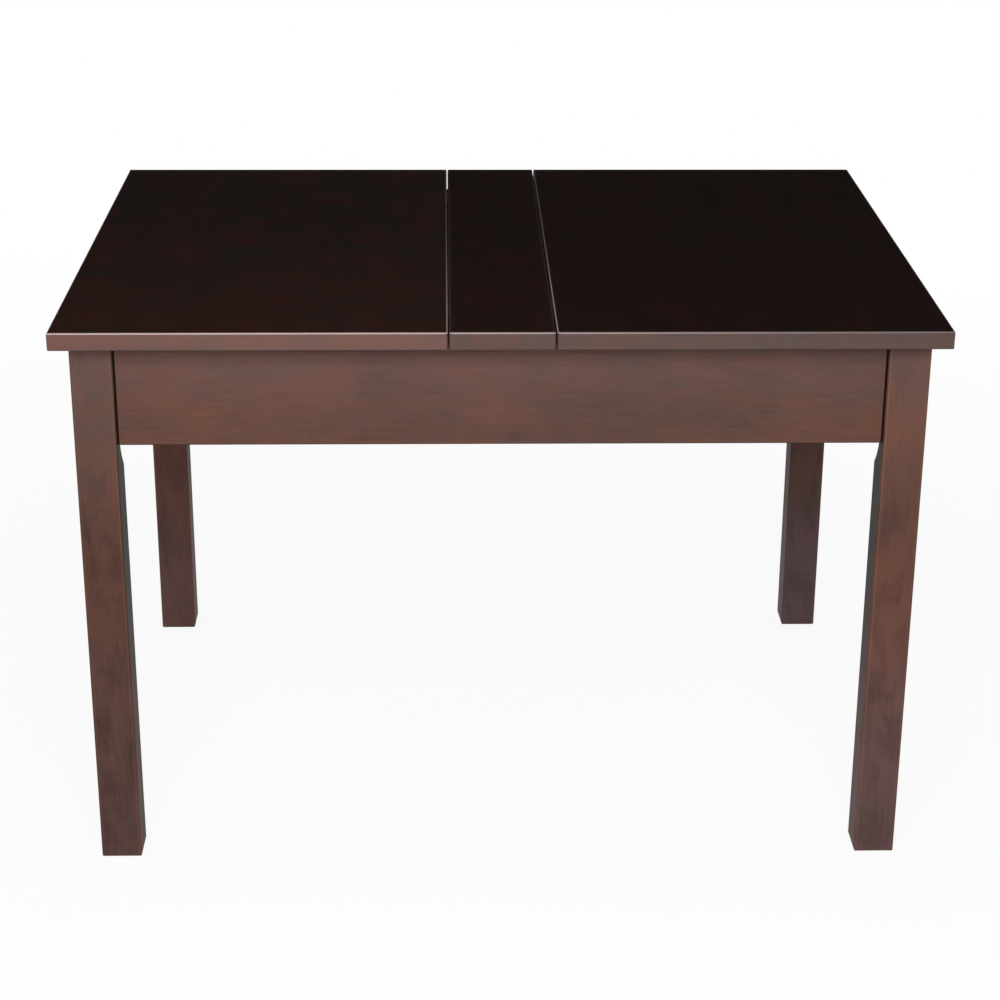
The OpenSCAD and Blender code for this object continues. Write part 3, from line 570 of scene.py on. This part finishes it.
class Plan(Nodes):
    """A Geometry Nodes tree with named inputs, which sets a part on each of many points."""

    def __init__(self, name, sizes):
        super().__init__(bpy.data.node_groups.new(name, "GeometryNodeTree"))
        kinds = {"Points": "Geometry", **{label: "Float" for label in sizes},
                 "Seed": "Int", "Metal": "Material"}
        add = self.tree.interface.new_socket
        self.keys = {label: add(label, in_out="INPUT", socket_type="NodeSocket" + kind).identifier
                     for label, kind in kinds.items()}
        add("Parts", in_out="OUTPUT", socket_type="NodeSocketGeometry")
        self.given = self.node("NodeGroupInput")
        self.sizes = [Field(self, self.given.outputs[label]) for label in sizes]

    def choose(self, which, values):
        """The value whose place in the list is given."""
        made = self.node("GeometryNodeIndexSwitch", {"data_type": "FLOAT"}, {"Index": which})
        while len(made.index_switch_items) < len(values):
            made.index_switch_items.new()
        for place, value in enumerate(values):
            self.feed(self.find(made.inputs, f"Item_{place}"), value)
        return Field(self, made.outputs[0])

    def skin(self, columns, outline, bearing=None):
        """Closed solid about Z, from a grid that is rolled up and joined along its seam.
        outline(turn) lists its rings from the top down: each is a pair of radius and height,
        or for a run of rings their number and a function of the share of the run.
        bearing(turn) is the angle of each column, evenly spaced if it is left out."""
        index = Field(self, self.node("GeometryNodeInputIndex").outputs[0])
        row = ((index + 0.5) / (columns + 1)).whole()
        turn = (index - row * (columns + 1)) / columns
        rows, which, pairs = 0, -1, []
        for first, second in outline(turn):
            which = row.past(rows - 0.5) + which
            is_run = callable(second)
            pairs.append(second((row - rows) / (first - 1)) if is_run else (first, second))
            rows = rows + (first if is_run else 1)
        radius, height = (self.choose(which, values) for values in zip(*pairs))
        angle = bearing(turn) if bearing else turn * (2 * math.pi)
        place = self.node("ShaderNodeCombineXYZ", None, {
            "X": radius * angle.cosine(), "Y": radius * angle.sine(), "Z": height})
        grid = self.node("GeometryNodeMeshGrid", None, {
            "Size X": 1.0, "Size Y": 1.0, "Vertices X": rows, "Vertices Y": columns + 1})
        rolled = self.node("GeometryNodeSetPosition", None,
                           {"Geometry": grid.outputs["Mesh"], "Position": place.outputs[0]})
        return self.merge(rolled.outputs[0], SEAM_GAP)

    def merge(self, mesh, distance):
        made = self.node("GeometryNodeMergeByDistance", None,
                         {"Geometry": mesh, "Distance": distance})
        return made.outputs[0]

    def cut(self, body, cutter):
        how = {"operation": "DIFFERENCE", "solver": "MANIFOLD"}
        made = self.node("GeometryNodeMeshBoolean", how, {"Mesh 1": body, "Mesh 2": cutter})
        return self.merge(made.outputs["Mesh"], CUT_GAP)

    def close(self, part):
        """Sets the part on the points, each with its top along the point's axis."""
        axis = self.node("GeometryNodeInputNamedAttribute", {"data_type": "FLOAT_VECTOR"},
                         {"Name": "axis"})
        facing = self.node("FunctionNodeAlignRotationToVector", {"axis": "Z"},
                           {"Vector": axis.outputs["Attribute"]})
        placed = self.node("GeometryNodeInstanceOnPoints", None,
                           {"Points": self.given.outputs["Points"], "Instance": part,
                            "Rotation": facing.outputs[0]})
        spin = self.node("FunctionNodeRandomValue", {"data_type": "FLOAT"},
                         {"Min_001": 0.0, "Max_001": 2 * math.pi,
                          "Seed": self.given.outputs["Seed"]})
        spun = self.node("ShaderNodeCombineXYZ", None, {"Z": self.find(spin.outputs, "Value_001")})
        driven = self.node("GeometryNodeRotateInstances", None,
                           {"Instances": placed.outputs[0], "Rotation": spun.outputs[0],
                            "Local Space": True})
        real = self.node("GeometryNodeRealizeInstances", None, {"Geometry": driven.outputs[0]})
        shiny = self.node("GeometryNodeSetMaterial", None,
                          {"Geometry": real.outputs[0], "Material": self.given.outputs["Metal"]})
        out = self.node("NodeGroupOutput")
        self.tree.links.new(shiny.outputs[0], out.inputs[0])
        return self


def screw_plan():
    """Countersunk wood screw: cross recess, plain neck, thread and gimlet point."""
    plan = Plan("countersunk_screw", ["Head Radius", "Shank Radius", "Length", "Point", "Pitch"])
    head, shank, length, point, pitch = plan.sizes
    neck, soft, core, plain = head - shank, head * 0.04, shank * 0.68, length * 0.28
    tip, rings_per_turn = 0.3 * MM, 6

    def thread(turn):
        def ring(share):
            height = (plain - length + tip) * share - plain
            taper = ((height + length) / point).least(1)
            start = (share * 9).least(1)
            crest = 1 - start + start * ridge(height, pitch, turn)
            return (core + (shank - core) * crest) * taper, height
        return ring

    rings = ((length - plain) / pitch * rings_per_turn).whole()
    body = plan.skin(12, lambda turn: [
        (0, 0), (head - 2 * soft, 0), (head - soft, -soft), (shank, -neck),
        (rings, thread(turn)), (0, -length)])
    # A cross has three corners in each quarter: two at the end of an arm, one between two arms
    reach, floor, arm = head * 0.56, head * 0.22, 0.28
    above, depth = 0.3 * MM, neck * 1.1

    def quarter(turn):
        """Count of the quarter, and of the corner in it, both a hair over a whole number."""
        count = (turn * 4 + 0.01).whole()
        return count, turn * 12 - count * 3 + 0.01

    def cross(turn):
        out = plan.choose(quarter(turn)[1], [1, 1, arm * math.sqrt(2)])
        return [(0, above), (reach * out, above), (reach * out, 0), (floor * out, -depth),
                (0, -depth)]

    def corner(turn):
        count, place = quarter(turn)
        return count * (math.pi / 2) + plan.choose(place, [-arm, arm, math.pi / 4])

    return plan.close(plan.cut(body, plan.skin(12, cross, corner)))


def bolt_plan():
    """Hanger bolt: machine thread at the nut, plain middle and coarse wood thread in the leg."""
    plan = Plan("hanger_bolt", ["Radius", "Length", "Bite"])
    radius, length, bite = plan.sizes
    crown, machine, blend = 0.8 * MM, 22 * MM, 0.4 * MM

    def thread(turn, top, end, pitch, core_share, point):
        """Rings from the height top to the height end, with a taper over the last point."""
        def ring(share):
            height = (end - top) * share + top
            fade = (share * 20).least((1 - share) * 20).least(1)
            taper = ((height + length) / point + 0.1).least(1)
            core = radius * core_share
            return (core + (radius - core) * ridge(height, pitch, turn) * fade) * taper, height
        return ring

    return plan.close(plan.skin(16, lambda turn: [
        (0, 0), (radius * 0.62, 0), (radius * 0.80, -crown),
        (132, thread(turn, -crown, -machine, 1.0 * MM, 0.80, 0.1 * MM)),
        (radius * 0.9, -blend - machine), (radius * 0.9, bite - length + blend),
        (72, thread(turn, bite - length, blend - length, 2.4 * MM, 0.66, 5 * MM)),
        (0, -length)]))


def nut_plan():
    """Hexagon nut with both faces chamfered."""
    plan = Plan("hexagon_nut", ["Radius", "Bore", "Depth"])
    corner, bore, depth = plan.sizes
    flat, bevel = corner * math.cos(math.pi / 6), 0.4 * MM
    disc, chamfer_slope = flat * 0.95, 0.58

    def section(turn):
        around = flat / (((turn * 6).part() - 0.5) * (math.pi / 3)).cosine()
        drop = (around - disc) * chamfer_slope
        return [(disc, 0), (around, -drop), (around, drop - depth), (disc, -depth),
                (bore + bevel, -depth), (bore, bevel - depth), (bore, -bevel),
                (bore + bevel, 0), (disc, 0)]

    return plan.close(plan.skin(36, section))


def washer_plan():
    """Flat washer with softened rims."""
    plan = Plan("flat_washer", ["Radius", "Bore", "Depth"])
    radius, bore, depth = plan.sizes
    soft = depth * 0.2
    return plan.close(plan.skin(40, lambda turn: [
        (radius - soft, 0), (radius, -soft), (radius, soft - depth), (radius - soft, -depth),
        (bore + soft, -depth), (bore, soft - depth), (bore, -soft), (bore + soft, 0),
        (radius - soft, 0)]))


def rivet_plan():
    """Rivet with a low domed head at each end, and a slot for a driver if its depth is given."""
    plan = Plan("domed_rivet",
                ["Shaft", "Head", "Head Depth", "Foot", "Foot Depth", "Length", "Slot"])
    shaft, head, rise, foot, drop, length, slot = plan.sizes
    # Width of the dome, and how far it has fallen, as shares from its middle out to its rim
    slopes = (0.0, 0.3, 0.6, 0.9, 1.2, math.pi / 2)
    dome = [(math.sin(slope), 0.7 * (1 - math.cos(slope))) for slope in slopes]
    body = plan.skin(40, lambda turn: [
        *((head * wide, -rise * fall) for wide, fall in dome),
        (head, -rise), (shaft, -rise), (shaft, drop - length), (foot, drop - length),
        *((foot * wide, drop * fall - length) for wide, fall in reversed(dome))])
    above = 0.02 * MM
    size = plan.node("ShaderNodeCombineXYZ", None,
                     {"X": head * 3, "Y": head * 0.16, "Z": slot * 2 + above})
    lift = plan.node("ShaderNodeCombineXYZ", None, {"Z": above})
    block = plan.node("GeometryNodeMeshCube", None, {"Size": size.outputs[0]})
    blade = plan.node("GeometryNodeTransform", None,
                      {"Geometry": block.outputs["Mesh"], "Translation": lift.outputs[0]})
    return plan.close(plan.cut(body, blade.outputs[0]))


def fit(name, node, body, finish, plan, solids, sizes):
    """Replaces a CAD node by one mesh of detailed parts, each on its own solid's axis."""
    mesh = bpy.data.meshes.new(name)
    mesh.from_pydata([s["top"] for s in solids], [], [])
    axes = mesh.attributes.new("axis", "FLOAT_VECTOR", "POINT")
    axes.data.foreach_set("vector", np.ravel([s["axis"] for s in solids]))
    piece = link(name, mesh)
    maker = piece.modifiers.new("parts", "NODES")
    maker.node_group = plan.tree
    for label, value in {**sizes, "Seed": 7, "Metal": finish}.items():
        maker[plan.keys[label]] = value
    graph = bpy.context.evaluated_depsgraph_get()
    real = bpy.data.meshes.new_from_object(piece.evaluated_get(graph))
    piece.modifiers.remove(maker)
    piece.data = real
    real.shade_smooth()
    real.set_sharp_from_angle(angle=math.radians(32))
    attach(piece, body)
    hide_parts(node)


def fit_screws(turned):
    plan = screw_plan()
    driven = [(node, "root") for node in ("frame_screws", "panel_screws", "floor_screws",
                                          "hinge_screws_centre", "stay_plate_screws")]
    for side in SIDES:
        driven += [(f"hinge_screws_lid_{side}", "lid_" + side),
                   (f"stay_bracket_screws_{side}", "lid_" + side)]
    for node, body in driven:
        solids = solids_of(node)
        head = solids[0]["top_radius"]
        fit(node + "_driven", node, body, turned, plan, solids,
            {"Head Radius": head, "Shank Radius": head / 2, "Length": solids[0]["length"],
             "Point": 3 * MM, "Pitch": head * 0.45})


def fit_bolts(turned):
    """Hanger bolts of the legs, with their nuts and washers."""
    rods, hexes, rings = (solids_of(n) for n in ("hanger_bolts", "bolt_nuts", "bolt_washers"))
    for rod in rods:
        # The end with the nut is the one nearer the middle of the table
        if rod["axis"] @ rod["top"] > 0:
            rod["top"] = rod["top"] - rod["axis"] * rod["length"]
            rod["axis"] = -rod["axis"]
    radius = rods[0]["radius"]
    fit("hanger_bolts_threaded", "hanger_bolts", "root", turned, bolt_plan(), rods,
        {"Radius": radius, "Length": rods[0]["length"], "Bite": 25 * MM})
    fit("bolt_nuts_chamfered", "bolt_nuts", "root", turned, nut_plan(), hexes,
        {"Radius": hexes[0]["radius"], "Bore": radius * 1.02, "Depth": hexes[0]["length"]})
    fit("bolt_washers_softened", "bolt_washers", "root", turned, washer_plan(), rings,
        {"Radius": rings[0]["radius"], "Bore": radius * 1.1, "Depth": rings[0]["length"]})


def fit_rivets(nickel):
    """Pivots of the lid stays: a slotted one on each plate, domed ones at the elbow and the lid."""
    plan = rivet_plan()
    hubs = solids_of("stay_hub_rivets")
    fit("stay_hub_rivets_slotted", "stay_hub_rivets", "root", nickel, plan, hubs,
        {"Head": hubs[0]["top_radius"], "Head Depth": 2.6 * MM, "Foot": hubs[0]["end_radius"],
         "Foot Depth": 0.5 * MM, "Shaft": hubs[0]["end_radius"] * 0.99,
         "Length": hubs[0]["length"], "Slot": 1.1 * MM})
    for side in SIDES:
        for kind, body in (("lid", "lid_" + side), ("elbow", "stay_lower_" + side)):
            node = f"stay_{kind}_rivet_{side}"
            pins = solids_of(node)
            fit(node + "_domed", node, body, nickel, plan, pins,
                {"Head": pins[0]["top_radius"], "Head Depth": 1.3 * MM,
                 "Foot": pins[0]["end_radius"], "Foot Depth": 1.3 * MM, "Shaft": 3 * MM,
                 "Length": pins[0]["length"], "Slot": 0.0})


def dress_fittings():
    nickel = metal("satin_nickel", NICKEL, DULL_NICKEL, 0.26)
    pressed = metal("zinc_plated_steel", ZINC_PLATE, DULL_ZINC, 0.30, "X")
    turned = metal("screw_zinc", YELLOW_ZINC, DULL_YELLOW_ZINC, 0.27)
    for side in SIDES:
        for node in (f"hinge_cups_centre_{side}", f"hinge_cups_lid_{side}"):
            dress(node, nickel)
        for node in (f"hinge_links_{side}", f"stay_bracket_{side}", f"stay_lower_arm_{side}",
                     f"stay_upper_arm_{side}"):
            dress(node, pressed)
    dress("stay_plates", pressed)
    fit_screws(turned)
    fit_bolts(turned)
    fit_rivets(nickel)


# Studio

def pale_floor():
    """Large floor that keeps the table's shadow and fades to plain white further out."""
    reach = 40.0
    mesh = bpy.data.meshes.new("studio_floor")
    corners = [(-reach, -reach, 0), (reach, -reach, 0), (reach, reach, 0), (-reach, reach, 0)]
    mesh.from_pydata(corners, [], [(0, 1, 2, 3)])
    floor = link("studio_floor", mesh)
    paint = Finish("studio_floor", {"Specular IOR Level": 0.0, "Roughness": 1.0})
    seen = paint.light_path()
    far = ((paint.x * paint.x + paint.y * paint.y) ** 0.5).ease(700.0, 2400.0)
    # The floor looks pale, and throws less light back on the table than a pale floor would
    grey = paint.mix(seen, (0.25, 0.25, 0.25), (0.97, 0.97, 0.97))
    paint.feed(paint.shader.inputs["Base Color"], grey)
    glow = paint.node("ShaderNodeEmission", None, {"Color": (1, 1, 1, 1), "Strength": 1.0})
    blend = paint.node("ShaderNodeMixShader", None,
                       {0: seen * (0.90 + 0.10 * far), 1: paint.shader.outputs[0],
                        2: glow.outputs[0]})
    paint.feed(paint.tree.nodes["Material Output"].inputs["Surface"], blend.outputs[0])
    mesh.materials.append(paint.material)


def even_light(strength):
    """Light from all round, which the camera and glossy surfaces see as white."""
    world = bpy.data.worlds.new("studio")
    bpy.context.scene.world = world
    world.use_nodes = True
    paint = Nodes(world.node_tree)
    glow = world.node_tree.nodes["Background"]
    glow.inputs["Color"].default_value = (1, 1, 1, 1)
    paint.feed(glow.inputs["Strength"], strength + (1 - strength) * paint.light_path())


def softbox(name, place, size, target, power, glossy=True):
    lamp = bpy.data.lights.new(name, "AREA")
    lamp.shape = "RECTANGLE"
    lamp.size, lamp.size_y = size
    lamp.energy = power
    made = link(name, lamp)
    made.location = place
    made.rotation_mode = "QUATERNION"
    made.rotation_quaternion = (Vector(target) - Vector(place)).to_track_quat("-Z", "Y")
    made.visible_camera = False
    made.visible_glossy = glossy


def softboxes():
    """A key light over the camera, and weaker ones low in front, behind and at both sides."""
    softbox("key_light", (-0.1, -1.6, 1.25), (1.3, 1.0), (0, -0.28, 0.48), 22.5)
    softbox("low_light", (0.0, -2.2, 0.3), (1.4, 0.4), (0, 0.25, 0.2), 6, glossy=False)
    softbox("back_light", (0.2, 2.3, 0.4), (2.0, 0.5), (0, 0.25, 0.35), 16, glossy=False)
    softbox("left_light", (-2.4, 0.4, 0.45), (1.2, 0.5), (-0.4, 0, 0.35), 6, glossy=False)
    softbox("right_light", (2.4, 0.4, 0.45), (1.2, 0.5), (0.4, 0, 0.35), 6, glossy=False)


def dark_flags():
    """Dark cloths round the set, above eye level, which keep the glare off the top."""
    mesh = bpy.data.meshes.new("studio_flags")
    count, reach, heights = 24, 7.0, (0.75, 14.0)
    angles = [2 * math.pi * i / count for i in range(count)]
    corners = [(reach * math.cos(a), reach * math.sin(a), z) for a in angles for z in heights]
    faces = [[(2 * i + step) % (2 * count) for step in (0, 1, 3, 2)] for i in range(count)]
    mesh.from_pydata(corners, [], faces)
    flags = link("studio_flags", mesh)
    paint = Finish("studio_flags", {"Specular IOR Level": 0.0, "Roughness": 1.0,
                                    "Base Color": (0.006, 0.006, 0.006, 1)})
    mesh.materials.append(paint.material)
    flags.visible_camera = False
    flags.visible_diffuse = False
    flags.visible_shadow = False
    flags.visible_transmission = False


def camera():
    """The photograph's viewpoint: a little left of the middle, looking down on the top."""
    eye = (-0.0514, -2.3035, 1.1778)
    yaw, pitch, roll = (math.radians(a) for a in (1.433, 22.443, 0.325))
    forward = Vector((math.sin(yaw) * math.cos(pitch), math.cos(yaw) * math.cos(pitch),
                      -math.sin(pitch)))
    level = Vector((math.cos(yaw), -math.sin(yaw), 0))
    above = level.cross(forward)
    right = math.cos(roll) * level + math.sin(roll) * above
    up = math.cos(roll) * above - math.sin(roll) * level
    lens = bpy.data.cameras.new("camera")
    lens.lens = 84.31
    lens.sensor_width = 36.0
    lens.shift_y = 0.0314
    lens.clip_end = 200.0
    made = link("camera", lens)
    turn = Matrix((right, up, -forward)).transposed().to_4x4()
    made.matrix_world = Matrix.Translation(eye) @ turn
    bpy.context.scene.camera = made


dress_wood()
dress_fittings()
pale_floor()
even_light(0.38)
dark_flags()
softboxes()
camera()
bpy.context.scene.view_settings.view_transform = "Standard"
